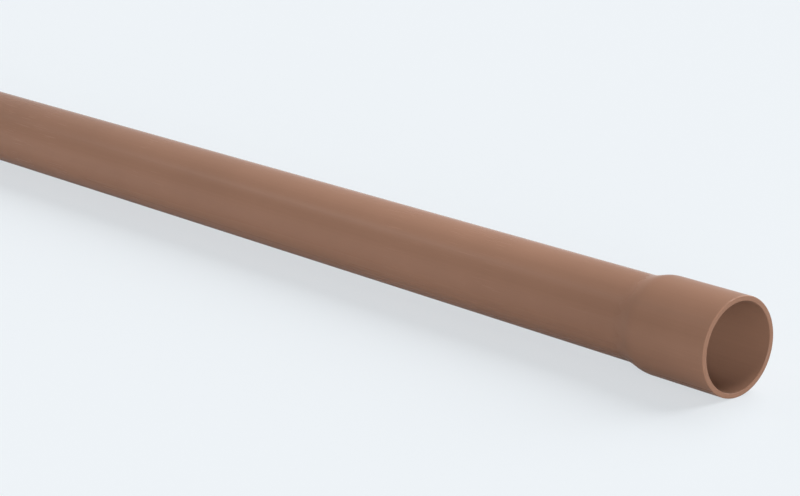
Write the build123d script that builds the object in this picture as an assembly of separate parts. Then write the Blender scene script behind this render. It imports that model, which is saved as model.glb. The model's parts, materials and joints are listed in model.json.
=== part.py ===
from build123d import *
import os
from math import radians, tan

# Water pipe of rigid PVC, lying on its side: one extruded tube with a socket formed on one end.
# Millimetres. X runs along the pipe and out of the socket's mouth, Z is up,
# and the origin is the centre of the mouth.

# Barrel, the plain tube that makes up nearly all of the length.
pipe_outside = 50.0
pipe_wall = 3.0
pipe_length = 3000.0  # overall, socket included

# Socket, where the next pipe's end is cemented in.
socket_clearance = 0.4  # on the diameter, round a pipe of the same outside size
socket_wall = 2.95  # a little under the barrel's wall, because the socket is stretched over a mandrel
socket_depth = 51.0  # parallel part, from the mouth to where the wall starts to bend

# Shoulder, the cone that carries the wall from the socket down to the barrel.
shoulder_angle = 15.0  # degrees, between the cone and the pipe's axis
crown_bend = 21.0  # radius inside the wall, where the socket bends into the cone
neck_bend = 30.0  # radius outside the wall, where the cone bends into the barrel

# Mouth, the trimmed end of the socket.
lip_round = 0.8  # outer edge
lead_in = 0.3  # bevel on the inner edge, as wide as it is deep

# Spigot, the plain end that goes into the next pipe's socket.
spigot_bevel_angle = 15.0  # degrees, against the pipe's axis
spigot_bevel_depth = 1.0  # how much of the wall the bevel takes off, across the wall
bore_break = 0.3  # the cut's inner edge, as wide as it is deep

# Radii that follow from the sizes above.
barrel_radius = pipe_outside / 2
bore_radius = barrel_radius - pipe_wall
socket_bore_radius = (pipe_outside + socket_clearance) / 2
socket_radius = socket_bore_radius + socket_wall


def cone_corner(bend, angle):
    """Distance from where a bend starts to the corner that its two straight sides would make."""
    return bend * tan(radians(angle / 2))


def shoulder_corners(large_radius, small_radius, first_bend):
    """Distances from the mouth to the two corners of one side of the shoulder's wall."""
    large_corner = socket_depth + cone_corner(first_bend, shoulder_angle)
    small_corner = large_corner + (large_radius - small_radius) / tan(radians(shoulder_angle))
    return large_corner, small_corner


def wall_outline():
    """The wall's section on one side of the axis, as corners with the radius that rounds each one."""
    outer_crown = crown_bend + socket_wall
    inner_neck = neck_bend + pipe_wall
    outer_large, outer_small = shoulder_corners(socket_radius, barrel_radius, outer_crown)
    inner_large, inner_small = shoulder_corners(socket_bore_radius, bore_radius, crown_bend)
    bevel_length = spigot_bevel_depth / tan(radians(spigot_bevel_angle))
    return [
        ((0, socket_bore_radius + lead_in), 0),
        ((0, socket_radius), lip_round),
        ((-outer_large, socket_radius), outer_crown),
        ((-outer_small, barrel_radius), neck_bend),
        ((bevel_length - pipe_length, barrel_radius), 0),
        ((-pipe_length, barrel_radius - spigot_bevel_depth), 0),
        ((-pipe_length, bore_radius + bore_break), 0),
        ((bore_break - pipe_length, bore_radius), 0),
        ((-inner_small, bore_radius), inner_neck),
        ((-inner_large, socket_bore_radius), crown_bend),
        ((-lead_in, socket_bore_radius), 0),
    ]


def socketed_pipe():
    """The section turned about the pipe's axis."""
    corners, bends = zip(*wall_outline())
    with BuildPart() as pipe:
        with BuildSketch(Plane.XZ):
            with BuildLine():
                FilletPolyline(*corners, radius=bends, close=True)
            make_face()
        revolve(axis=Axis.X)
    return pipe.part


os.makedirs("parts", exist_ok=True)
export_step(socketed_pipe(), "parts/socketed_pipe.step")
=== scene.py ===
import json
from math import cos, pi, radians, sin, tan

import bpy
import numpy as np
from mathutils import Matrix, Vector


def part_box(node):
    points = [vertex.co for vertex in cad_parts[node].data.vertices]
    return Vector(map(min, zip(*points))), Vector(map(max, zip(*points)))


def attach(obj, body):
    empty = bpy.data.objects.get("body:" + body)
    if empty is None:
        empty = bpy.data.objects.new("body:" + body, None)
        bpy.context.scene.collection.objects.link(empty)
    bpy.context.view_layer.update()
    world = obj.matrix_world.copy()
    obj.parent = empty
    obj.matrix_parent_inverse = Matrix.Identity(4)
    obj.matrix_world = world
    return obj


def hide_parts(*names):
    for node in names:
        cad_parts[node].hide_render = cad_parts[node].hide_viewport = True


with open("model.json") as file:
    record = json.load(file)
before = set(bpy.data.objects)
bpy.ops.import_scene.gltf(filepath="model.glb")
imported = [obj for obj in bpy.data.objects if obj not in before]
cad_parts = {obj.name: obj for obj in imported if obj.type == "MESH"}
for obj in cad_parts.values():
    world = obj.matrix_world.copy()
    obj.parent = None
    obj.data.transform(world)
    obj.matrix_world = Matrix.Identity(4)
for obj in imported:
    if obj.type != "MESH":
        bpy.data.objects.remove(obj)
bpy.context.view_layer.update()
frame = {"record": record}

bpy.context.scene.view_settings.view_transform = "Standard"

# The pipe: one length of rigid brown PVC for cold water, lying on the floor.
# It is extruded as a plain tube, and one end is then heated and pushed over a mandrel, which
# forms the socket. The mouth is trimmed square, and the far end is sawn and bevelled.

mounts = {m["name"]: m for m in frame["record"]["mounts"]}
low_corner, high_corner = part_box("socketed_pipe")


def wall_radius(mount):
    """A stated bore's or spigot's radius, from millimetres to metres."""
    return mounts[mount]["dims"]["r_mm"] / 1000


barrel_radius = wall_radius("spigot")
bore_radius = wall_radius("pipe_bore")
socket_bore_radius = wall_radius("socket")
socket_radius = high_corner.z
pipe_length = -low_corner.x
lead_in = 0.0003
socket_depth = mounts["socket"]["dims"]["length_mm"] / 1000 + lead_in
shoulder_slope = radians(15)
crown_bend = 0.021
neck_bend = 0.030
lip_round = 0.0008
spigot_bevel_slope = radians(15)
spigot_bevel_depth = 0.001
spigot_bevel_length = spigot_bevel_depth / tan(spigot_bevel_slope)
bore_break = 0.0003
worn_edge = 0.00008  # what handling leaves of a sawn corner


def shoulder_corners(large_radius, small_radius, first_bend):
    """Where one side of the shoulder's wall would turn if it weren't rounded.

    The first corner lies bend * tan(slope / 2) beyond the socket's straight part, and the
    second one lies the fall in radius over tan(slope) beyond the first.
    """
    large = socket_depth + first_bend * tan(shoulder_slope / 2)
    return large, large + (large_radius - small_radius) / tan(shoulder_slope)


def wall_section():
    """Corners of the wall's section as (along, out from the axis), with each one's radius.

    They run from the mouth's inner edge along the outside to the spigot, and back inside.
    """
    outer_crown = crown_bend + socket_radius - socket_bore_radius
    inner_neck = neck_bend + barrel_radius - bore_radius
    outer_large, outer_small = shoulder_corners(socket_radius, barrel_radius, outer_crown)
    inner_large, inner_small = shoulder_corners(socket_bore_radius, bore_radius, crown_bend)
    return np.array([
        (0, socket_bore_radius + lead_in, worn_edge),
        (0, socket_radius, lip_round),
        (-outer_large, socket_radius, outer_crown),
        (-outer_small, barrel_radius, neck_bend),
        (spigot_bevel_length - pipe_length, barrel_radius, lip_round),
        (-pipe_length, barrel_radius - spigot_bevel_depth, worn_edge),
        (-pipe_length, bore_radius + bore_break, worn_edge),
        (bore_break - pipe_length, bore_radius, worn_edge),
        (-inner_small, bore_radius, inner_neck),
        (-inner_large, socket_bore_radius, crown_bend),
        (-lead_in, socket_bore_radius, worn_edge),
    ])


def rounded(corners, steps):
    """A closed line of corners with each one turned into an arc.

    At a corner with half angle h between its sides, the arc starts radius / tan(h) along
    each side. Its centre lies radius / sin(h) along the line that halves the corner, and
    its points turn evenly from one side's foot to the other's. A point a fifth of the radius
    up each straight side, or three tenths up a short one, keeps that side's shading flat.
    """
    at, radius = corners[:, :2], corners[:, 2]
    back = np.roll(at, 1, 0) - at
    ahead = np.roll(at, -1, 0) - at
    back /= np.linalg.norm(back, axis=1)[:, None]
    ahead /= np.linalg.norm(ahead, axis=1)[:, None]
    half = np.arccos((back * ahead).sum(1)) / 2
    middle = back + ahead
    middle /= np.linalg.norm(middle, axis=1)[:, None]
    centre = at + middle * (radius / np.sin(half))[:, None]
    reach = (radius / np.tan(half))[:, None]
    first = (at + back * reach - centre) / radius[:, None]
    last = (at + ahead * reach - centre) / radius[:, None]
    turn = (pi - 2 * half)[:, None, None]
    share = np.linspace(0, 1, steps)[None, :, None]
    arc = first[:, None] * np.sin((1 - share) * turn) + last[:, None] * np.sin(share * turn)
    points = centre[:, None] + arc / np.sin(turn) * radius[:, None, None]
    straight = np.linalg.norm(np.roll(at, -1, 0) - at, axis=1)[:, None] - reach - np.roll(reach, -1, 0)
    near = 0.2 * radius[:, None]
    short = 0.3 * straight
    before = at + back * (reach + np.minimum(near, np.roll(short, 1, 0)))
    after = at + ahead * (reach + np.minimum(near, short))
    return np.concatenate([before[:, None], points, after[:, None]], axis=1).reshape(-1, 2)


def divided(line, longest):
    """A closed line with every stretch longer than that cut into equal parts."""
    stretch = np.roll(line, -1, 0) - line
    parts = np.ceil(np.linalg.norm(stretch, axis=1) / longest).astype(int)
    owner = np.repeat(np.arange(len(line)), parts)
    order = np.arange(len(owner)) - np.repeat(np.cumsum(parts) - parts, parts)
    return line[owner] + stretch[owner] * (order / parts[owner])[:, None]


def turned(line, around):
    """A closed line of (along, out) carried round the X axis: (along, out cos a, out sin a)."""
    angle = np.linspace(0, 2 * pi, around, endpoint=False)
    along = np.repeat(line[:, :1], around, axis=1)
    across = np.outer(line[:, 1], np.cos(angle))
    up = np.outer(line[:, 1], np.sin(angle))
    grid = np.stack([along, across, up], axis=2)
    place = np.arange(len(line) * around).reshape(len(line), around)
    next_ring = np.roll(place, -1, 0)
    faces = np.stack([place, next_ring, np.roll(next_ring, -1, 1), np.roll(place, -1, 1)], axis=2)
    return grid.reshape(-1, 3), faces.reshape(-1, 4)


def bake_rows(line, around, rows):
    """Each face corner's place on the map on which the surface is unrolled in rows.

    Across a row goes the way along the closed line, and up it goes the turn round the axis.
    Each row takes an equal share of the line, inside a margin of three hundredths of the row.
    """
    margin = 0.03
    run = np.linalg.norm(np.roll(line, -1, 0) - line, axis=1)
    start = np.cumsum(run) - run
    row = np.minimum((start + run / 2) * rows // run.sum(), rows - 1)
    way = np.stack([start, start + run, start + run, start], axis=1) * rows / run.sum() - row[:, None]
    turn = (np.arange(around)[:, None] + np.array([0, 0, 1, 1])) / around
    way, turn = np.broadcast_arrays(way[:, None], turn[None])
    across = margin + (1 - 2 * margin) * way
    up = (row[:, None, None] + margin + (1 - 2 * margin) * turn) / rows
    return np.stack([across, up], axis=3).reshape(-1, 2)


arc_steps = 13
longest_face = 0.05
round_parts = 240
unrolled_rows = 6  # on the map that the surface's finish is baked to
section = divided(rounded(wall_section(), arc_steps), longest_face)
points, faces = turned(section, round_parts)
pipe_mesh = bpy.data.meshes.new("pvc_pipe")
pipe_mesh.from_pydata(points, [], faces)
pipe_mesh.polygons.foreach_set("use_smooth", np.ones(len(faces), bool))
unrolled = pipe_mesh.uv_layers.new(name="OFBake")
unrolled.data.foreach_set("uv", bake_rows(section, round_parts, unrolled_rows).ravel())
pipe = bpy.data.objects.new("pvc_pipe", pipe_mesh)
bpy.context.scene.collection.objects.link(pipe)


def put(tree, kind, links=(), **settings):
    """A new node with its settings, and with each numbered or named input linked or set."""
    made = tree.nodes.new(kind)
    for name, value in settings.items():
        setattr(made, name, value)
    for name, value in dict(links).items():
        if isinstance(value, bpy.types.NodeSocket):
            tree.links.new(value, made.inputs[name])
        else:
            made.inputs[name].default_value = value
    return made


def number(tree, operation, *values):
    """What a math node makes of the values, each one a plain number or another node's."""
    return put(tree, "ShaderNodeMath", dict(enumerate(values)), operation=operation).outputs[0]


def ramp(tree, value, start, end, low, high, **settings):
    """A number that goes from low to high while the value goes from start to end."""
    ends = {"From Min": start, "From Max": end, "To Min": low, "To Max": high}
    return put(tree, "ShaderNodeMapRange", {"Value": value, **ends}, **settings).outputs[0]


def stretched_noise(tree, along, across, detail):
    """Noise with that many cells a metre along the pipe and across it."""
    place = put(tree, "ShaderNodeTexCoord").outputs["Object"]
    cells = put(tree, "ShaderNodeCombineXYZ", {"X": along, "Y": across, "Z": across}).outputs[0]
    spot = put(tree, "ShaderNodeVectorMath", {0: place, 1: cells}, operation="MULTIPLY").outputs[0]
    return put(tree, "ShaderNodeTexNoise", {"Vector": spot, "Scale": 1, "Detail": detail}).outputs[0]


def effect(name, inputs, outputs):
    """An empty shader node group with named number inputs, each with its usual value, and outputs."""
    tree = bpy.data.node_groups.new(name, "ShaderNodeTree")
    for label, usual in inputs.items():
        socket = tree.interface.new_socket(name=label, in_out="INPUT", socket_type="NodeSocketFloat")
        socket.default_value = usual
    for label in outputs:
        tree.interface.new_socket(name=label, in_out="OUTPUT", socket_type="NodeSocketFloat")
    given = tree.nodes.new("NodeGroupInput").outputs
    out = tree.nodes.new("NodeGroupOutput").inputs
    return tree, given, out


def drawn_lines():
    """Lengthwise lines that the extruder's die leaves: noise that is about a metre long in X.

    Lines are about a millimetre apart, and Bands several millimetres wide.
    """
    usual = {"Along per metre": 0.9, "Lines per metre": 900, "Bands per metre": 120}
    tree, given, out = effect("drawn_lines", usual, ["Lines", "Bands"])
    along = given["Along per metre"]
    tree.links.new(stretched_noise(tree, along, given["Lines per metre"], 2), out["Lines"])
    tree.links.new(stretched_noise(tree, along, given["Bands per metre"], 1), out["Bands"])
    return tree


def pigment_clouds():
    """Faint clouds where the pigment isn't quite evenly mixed, from 0 to 1."""
    tree, given, out = effect("pigment_clouds", {"Per metre": 18}, ["Cloud"])
    place = put(tree, "ShaderNodeTexCoord").outputs["Object"]
    noise = put(tree, "ShaderNodeTexNoise", {"Vector": place, "Scale": given["Per metre"], "Detail": 5})
    tree.links.new(noise.outputs[0], out["Cloud"])
    return tree


def rubbed_scratches():
    """Short faint scratches in patches, from 0 to 1.

    A scratch is where noise that is long in X passes a threshold, and a patch is where broad
    noise does. What comes out is the one times the other.
    """
    usual = {"Along per metre": 45, "Across per metre": 1800, "Patches per metre": 14}
    tree, given, out = effect("rubbed_scratches", usual, ["Scratch"])
    hair = stretched_noise(tree, given["Along per metre"], given["Across per metre"], 1)
    place = put(tree, "ShaderNodeTexCoord").outputs["Object"]
    broad = {"Vector": place, "Scale": given["Patches per metre"], "Detail": 2}
    patch = put(tree, "ShaderNodeTexNoise", broad).outputs[0]
    scratch = ramp(tree, hair, 0.64, 0.70, 0, 1)
    worn = ramp(tree, patch, 0.50, 0.62, 0, 1)
    tree.links.new(number(tree, "MULTIPLY", scratch, worn), out["Scratch"])
    return tree


heated_length = 0.28  # from the mouth to where the heat no longer shows
neck_corner = shoulder_corners(socket_radius, barrel_radius, crown_bend)[1]
neck_start = neck_corner + neck_bend * tan(shoulder_slope / 2)


def mandrel_forming():
    """What heat and the mandrel did to the end.

    Heated rises from 0 well before the neck to 1 on the socket, and Formed does so over the
    shoulder alone. Stretched is 4 * Formed * (1 - Formed), so it is 1 halfway up the shoulder.
    Rings is Stretched times noise that is short in X and long round the pipe.
    """
    places = {"Heat": -heated_length, "Neck": -neck_start, "Crown": -socket_depth}
    usual = {**places, "Rings per metre": 700, "Round per metre": 6}
    tree, given, out = effect("mandrel_forming", usual, ["Heated", "Formed", "Stretched", "Rings"])
    place = put(tree, "ShaderNodeTexCoord").outputs["Object"]
    along = put(tree, "ShaderNodeSeparateXYZ", {0: place}).outputs["X"]
    smooth = {"interpolation_type": "SMOOTHSTEP"}
    heated = ramp(tree, along, given["Heat"], given["Crown"], 0, 1, **smooth)
    formed = ramp(tree, along, given["Neck"], given["Crown"], 0, 1, **smooth)
    unformed = number(tree, "SUBTRACT", 1, formed)
    stretched = number(tree, "MULTIPLY", number(tree, "MULTIPLY", formed, unformed), 4)
    rings = stretched_noise(tree, given["Rings per metre"], given["Round per metre"], 2)
    tree.links.new(heated, out["Heated"])
    tree.links.new(formed, out["Formed"])
    tree.links.new(stretched, out["Stretched"])
    tree.links.new(number(tree, "MULTIPLY", stretched, rings), out["Rings"])
    return tree


drawn_lines_group = drawn_lines()
pigment_clouds_group = pigment_clouds()
rubbed_scratches_group = rubbed_scratches()
mandrel_forming_group = mandrel_forming()


def varied(tree, source, least, most):
    """A number that goes from least to most while noise goes over its usual range."""
    return ramp(tree, source, 0.3, 0.7, least, most)


def product(tree, whole, *factors):
    """All the given numbers multiplied."""
    for factor in factors:
        whole = number(tree, "MULTIPLY", whole, factor)
    return whole


def weighted_sum(tree, whole, *terms):
    """The first number and each term times its weight, added."""
    for term, weight in terms:
        whole = number(tree, "MULTIPLY_ADD", term, weight, whole)
    return whole


def tinted(tree, colour, tone):
    """The colour times a number, lighter above 1 and darker below."""
    return put(tree, "ShaderNodeVectorMath", {0: colour, "Scale": tone}, operation="SCALE").outputs[0]


heated_darker = 0.12  # as a share of the brown, where the whole end was heated
whitening_and_painted_light = 0.17  # likewise paler, halfway up the shoulder, where the wall gave most: partly stress whitening, partly painted light that lifts the shoulder's shade
smoothed_share = 0.5  # how much of the die lines' height the mandrel presses away
height_unit = 0.00001  # a hundredth of a millimetre, in which the heights below are given


def drawn_pvc(name, brown, gloss, roughness, scratched):
    """Brown PVC as it leaves the die: clouds and lines in its tone, gloss and height.

    The tone starts as a product of values near 1. Each effect then adds its mask times a weight
    to the tone, the dullness or the height, so a scratch is paler, duller and lower than the skin.
    Halfway up the shoulder the tone is painted paler: partly stress whitening, partly painted
    light that lifts the shade the shoulder's slope gets from the lamps.
    """
    material = bpy.data.materials.new(name)
    material.use_nodes = True
    tree = material.node_tree
    shader = tree.nodes["Principled BSDF"]
    shader.inputs["Specular IOR Level"].default_value = gloss
    drawn = put(tree, "ShaderNodeGroup", node_tree=drawn_lines_group).outputs
    lines, bands = drawn["Lines"], drawn["Bands"]
    cloud = put(tree, "ShaderNodeGroup", node_tree=pigment_clouds_group).outputs["Cloud"]
    scratch = put(tree, "ShaderNodeGroup", node_tree=rubbed_scratches_group).outputs["Scratch"]
    forming = put(tree, "ShaderNodeGroup", node_tree=mandrel_forming_group).outputs
    heated, formed = forming["Heated"], forming["Formed"]
    stretched, rings = forming["Stretched"], forming["Rings"]

    clouded = varied(tree, cloud, 0.97, 1.03)
    lined = varied(tree, lines, 0.985, 1.015)
    banded = varied(tree, bands, 0.985, 1.015)
    mottle = product(tree, clouded, lined, banded)
    # The shoulder's paler tone is partly stress whitening and partly painted light against its shade.
    forming_tones = ((heated, -heated_darker), (stretched, whitening_and_painted_light))
    tone = weighted_sum(tree, mottle, (scratch, 0.08 * scratched), *forming_tones)
    tree.links.new(tinted(tree, brown, tone), shader.inputs["Base Color"])

    drawn_dull = varied(tree, bands, roughness - 0.03, roughness + 0.03)
    dull = weighted_sum(tree, drawn_dull, (scratch, 0.12 * scratched), (formed, 0.04), (rings, 0.05))
    tree.links.new(dull, shader.inputs["Roughness"])

    drawn_height = weighted_sum(tree, 0.0, (lines, 0.12), (bands, 3.0))
    smoothed = weighted_sum(tree, 1.0, (formed, -smoothed_share))
    formed_height = product(tree, drawn_height, smoothed)
    height = weighted_sum(tree, formed_height, (rings, 0.3), (scratch, -0.3 * scratched))
    bump = put(tree, "ShaderNodeBump", {"Height": height, "Distance": height_unit, "Strength": 1.0})
    tree.links.new(bump.outputs[0], shader.inputs["Normal"])
    return material


marks_per_metre = 2600
marks_height = 0.00003
saw_feed = (0, 0.94, 0.34)  # the way in which the saw sank through the far end
flat_face_depth = 0.0002  # what counts as the far end's flat face, from its tip


def sawn_pvc(name, brown, gloss, roughness):
    """Cut PVC: the cutter's fine marks run round the mouth and the bevel.

    On the far end's flat face they run straight across, as a saw leaves them. The marks are
    noise over the distance from the axis, or over the distance along the saw's feed.
    """
    material = bpy.data.materials.new(name)
    material.use_nodes = True
    tree = material.node_tree
    shader = tree.nodes["Principled BSDF"]
    shader.inputs["Specular IOR Level"].default_value = gloss
    place = put(tree, "ShaderNodeTexCoord").outputs["Object"]
    parts = put(tree, "ShaderNodeSeparateXYZ", {0: place}).outputs
    flat = put(tree, "ShaderNodeCombineXYZ", {"X": 0, "Y": parts["Y"], "Z": parts["Z"]}).outputs[0]
    outward = put(tree, "ShaderNodeVectorMath", {0: flat}, operation="LENGTH").outputs["Value"]
    along_feed = put(tree, "ShaderNodeVectorMath", {0: flat, 1: saw_feed}, operation="DOT_PRODUCT")
    sawn = number(tree, "LESS_THAN", parts["X"], flat_face_depth - pipe_length)
    ways = {"Factor": sawn, "A": outward, "B": along_feed.outputs["Value"]}
    way = put(tree, "ShaderNodeMix", ways).outputs[0]
    fine = {"W": way, "Scale": marks_per_metre, "Detail": 3}
    marks = put(tree, "ShaderNodeTexNoise", fine, noise_dimensions="1D").outputs[0]
    cloud = put(tree, "ShaderNodeGroup", node_tree=pigment_clouds_group).outputs["Cloud"]

    tone = product(tree, varied(tree, marks, 0.94, 1.06), varied(tree, cloud, 0.97, 1.03))
    tree.links.new(tinted(tree, brown, tone), shader.inputs["Base Color"])
    tree.links.new(varied(tree, marks, roughness - 0.06, roughness + 0.06), shader.inputs["Roughness"])
    bump = put(tree, "ShaderNodeBump", {"Height": marks, "Distance": marks_height, "Strength": 1.0})
    tree.links.new(bump.outputs[0], shader.inputs["Normal"])
    return material


pvc_brown = (0.261, 0.1422, 0.0950)
cut_brown = (0.232, 0.127, 0.085)
pipe_mesh.materials.append(drawn_pvc("drawn_skin", pvc_brown, 0.07, 0.26, 0.45))
pipe_mesh.materials.append(drawn_pvc("drawn_bore", pvc_brown, 0.07, 0.26, 0.2))
pipe_mesh.materials.append(sawn_pvc("sawn_end", cut_brown, 0.10, 0.60))

# The faces that are cut are the steep ones and the bevel. Of the rest, the line runs one way
# along the outside and the other way along the bore.
skin, bore, cut_end = 0, 1, 2
steep_slope = radians(48)
step_along = np.roll(section, -1, 0) - section
middle = section + step_along / 2
steep = np.abs(step_along[:, 1]) > sin(steep_slope) * np.linalg.norm(step_along, axis=1)
bevelled = (middle[:, 0] < spigot_bevel_length - pipe_length) & (middle[:, 1] > bore_radius)
drawn_finish = np.where(step_along[:, 0] < 0, skin, bore)
finish = np.where(steep | bevelled, cut_end, drawn_finish)
pipe_mesh.polygons.foreach_set("material_index", np.repeat(finish, round_parts).astype(np.int32))
pipe_mesh.update()

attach(pipe, "root")
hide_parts("socketed_pipe")

# The floor: a plain pale studio floor under the pipe, which runs on out of sight.
# It is matt, so it keeps the pipe's soft shadow and throws light back under it.

floor_height = low_corner.z
floor_reach = 20.0
backdrop = (0.855, 0.896, 0.930)
floor_white = 0.95  # the paint, which the pipe is lit by
floor_light = 0.97  # how many times its own colour the lamps make an open matt floor
shaded_share = 0.35  # part of the floor's paleness that a full shadow would take away


def seen_or_mirrored(tree):
    """1 where the camera looks, straight or by a reflection or through glass, and 0 elsewhere."""
    way = put(tree, "ShaderNodeLightPath").outputs
    mirrored = number(tree, "MAXIMUM", way["Is Glossy Ray"], way["Is Transmission Ray"])
    return number(tree, "MAXIMUM", way["Is Camera Ray"], mirrored)


def floor_material():
    """Matt white paint, which throws its light back as any floor does.

    Seen or mirrored, it is as pale as the backdrop where nothing shades it. To the camera a part
    of that is fixed, fixed = (1 - shaded share), so the pipe's shadow is a light one.
    """
    material = bpy.data.materials.new("studio_floor")
    material.use_nodes = True
    tree = material.node_tree
    tree.nodes.clear()
    seen = put(tree, "ShaderNodeLightPath").outputs["Is Camera Ray"]
    fixed = number(tree, "MULTIPLY", seen, 1 - shaded_share)
    lit = number(tree, "DIVIDE", number(tree, "SUBTRACT", 1, fixed), floor_light)
    shaded = put(tree, "ShaderNodeBsdfDiffuse", {"Color": tinted(tree, backdrop, lit)})
    constant = put(tree, "ShaderNodeEmission", {"Color": (*backdrop, 1), "Strength": fixed})
    shown = put(tree, "ShaderNodeAddShader", {0: shaded.outputs[0], 1: constant.outputs[0]})
    bounce = put(tree, "ShaderNodeBsdfDiffuse", {"Color": (floor_white, floor_white, floor_white, 1)})
    looked_at = seen_or_mirrored(tree)
    whole = put(tree, "ShaderNodeMixShader", {0: looked_at, 1: bounce.outputs[0], 2: shown.outputs[0]})
    put(tree, "ShaderNodeOutputMaterial", {"Surface": whole.outputs[0]})
    return material


corner_signs = ((-1, -1), (1, -1), (1, 1), (-1, 1))
floor_corners = [(x * floor_reach, y * floor_reach, floor_height) for x, y in corner_signs]
floor_mesh = bpy.data.meshes.new("studio_floor")
floor_mesh.from_pydata(floor_corners, [], [(0, 1, 2, 3)])
floor_mesh.materials.append(floor_material())
floor = bpy.data.objects.new("studio_floor", floor_mesh)
bpy.context.scene.collection.objects.link(floor)

# The light: a plain studio room, pale near the floor and dimmer overhead. Soft lamps far off shine
# from behind and from in front of the mouth, and a small one on the left shows as a faint band in
# the skin's gloss. Another lamp hangs close over the socket, so the light fades along the pipe.

pale_up_to = sin(radians(10))
overhead_paleness = 0.5
room_glow = 0.13  # what the whole room adds to the lamps' light
world = bpy.data.worlds.new("pale_room")
bpy.context.scene.world = world
world.use_nodes = True
room = world.node_tree
room.nodes.clear()
ray = put(room, "ShaderNodeTexCoord").outputs["Object"]
way_out = put(room, "ShaderNodeVectorMath", {0: ray}, operation="NORMALIZE").outputs[0]
climb = put(room, "ShaderNodeSeparateXYZ", {0: way_out}).outputs["Z"]
paleness = ramp(room, climb, 0, pale_up_to, 1, overhead_paleness, interpolation_type="SMOOTHSTEP")
walls = put(room, "ShaderNodeBackground", {"Color": (*backdrop, 1), "Strength": paleness})
glow = put(room, "ShaderNodeBackground", {"Color": (1, 1, 1, 1), "Strength": room_glow})
looked_at = seen_or_mirrored(room)
whole = put(room, "ShaderNodeMixShader", {0: looked_at, 1: glow.outputs[0], 2: walls.outputs[0]})
put(room, "ShaderNodeOutputWorld", {"Surface": whole.outputs[0]})


def hang(name, lamp, toward):
    """The lamp as an object in the scene, turned to shine that way."""
    made = bpy.data.objects.new(name, lamp)
    bpy.context.scene.collection.objects.link(made)
    made.rotation_euler = Vector(toward).to_track_quat("-Z", "Y").to_euler()
    return made


def far_lamp(name, toward, strength, width):
    """A soft lamp far away, as a sun of that width in degrees."""
    lamp = bpy.data.lights.new(name, "SUN")
    lamp.energy = strength
    lamp.angle = radians(width)
    return hang(name, lamp, toward)


far_lamp("back_lamp", (0, -1, -0.8), 3.3, 60)
far_lamp("front_lamp", (-0.9, 0.68, -0.19), 3.3, 26)
far_lamp("side_lamp", (0.73, 0.39, -0.56), 0.10, 12)

# The close lamp is kept off the floor, which it would light unevenly.
close_disc = bpy.data.lights.new("close_lamp", "AREA")
close_disc.shape = "DISK"
close_disc.size = 0.5
close_disc.energy = 8.2
close_place = Vector((-0.02, 0.35, 0.90))
close_lamp = hang("close_lamp", close_disc, -close_place)
close_lamp.location = close_place
close_lamp.visible_camera = False
lit_closely = bpy.data.collections.new("lit_closely")
lit_closely.objects.link(pipe)
close_lamp.light_linking.receiver_collection = lit_closely

# The camera: it looks down at the socket's mouth from in front and to the right, through a long
# lens a little over a metre away. Its place and lens are those that fit the pipe's outlines.

view_azimuth = radians(49.172)
view_elevation = radians(15.10)
to_mouth = (0.17939, -0.05261, 1.23027)  # right, up and ahead of the camera
camera_data = bpy.data.cameras.new("camera")
camera_data.lens = 104.59
camera_data.sensor_width = 36.0
camera_data.clip_end = 100.0
camera = bpy.data.objects.new("camera", camera_data)
bpy.context.scene.collection.objects.link(camera)
camera.rotation_euler = (pi / 2 - view_elevation, 0, view_azimuth)
level = np.array([-sin(view_azimuth), cos(view_azimuth), 0])
ahead = cos(view_elevation) * level - sin(view_elevation) * np.array([0, 0, 1])
right = np.array([cos(view_azimuth), sin(view_azimuth), 0])
up = np.cross(right, ahead)
camera.location = -(to_mouth[0] * right + to_mouth[1] * up + to_mouth[2] * ahead)
bpy.context.scene.camera = camera
